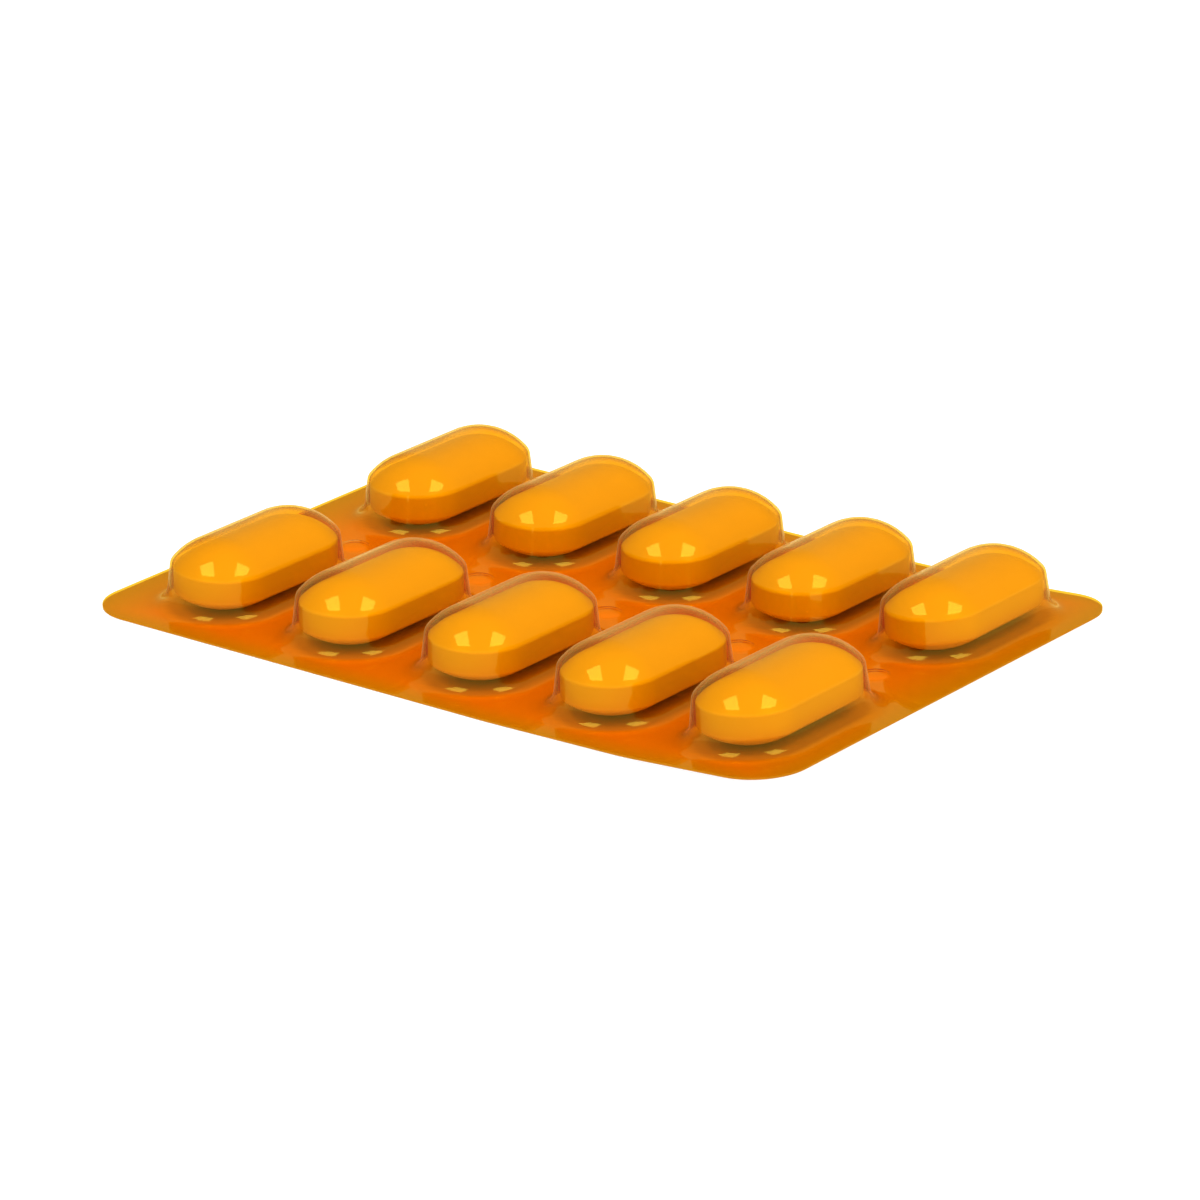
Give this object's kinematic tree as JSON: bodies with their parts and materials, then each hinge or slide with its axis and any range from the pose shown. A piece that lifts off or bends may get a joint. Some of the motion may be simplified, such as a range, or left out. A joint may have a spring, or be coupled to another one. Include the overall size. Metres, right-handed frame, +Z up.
{
  "type": "pill blister pack",
  "caption": "Push-through blister pack: clear amber film with rows of oblong pockets, each holding a film-coated tablet, sealed with foil.",
  "frame": {"origin": "middle of the sheet's length and width, on the level underside of the foil that the pack rests on", "axes": "+Z up out of the pockets; +X along the sheet from its wide margin to its narrow, slightly curled end; +Y across the sheet towards the back row"},
  "size_m": [0.0866, 0.0616, 0.0084],
  "materials": {
    "amber_film": "glossy thermoformed clear amber film",
    "lidding_foil": "satin hard aluminium foil",
    "coated_tablet": "smooth satin film coating"
  },
  "bodies": {
    "root": {"forming_film": "amber_film", "lidding_foil": "lidding_foil", "tablet_01": "coated_tablet", "tablet_02": "coated_tablet", "tablet_03": "coated_tablet", "tablet_04": "coated_tablet", "tablet_05": "coated_tablet", "tablet_06": "coated_tablet", "tablet_07": "coated_tablet", "tablet_08": "coated_tablet", "tablet_09": "coated_tablet", "tablet_10": "coated_tablet"}
  },
  "joints": []
}
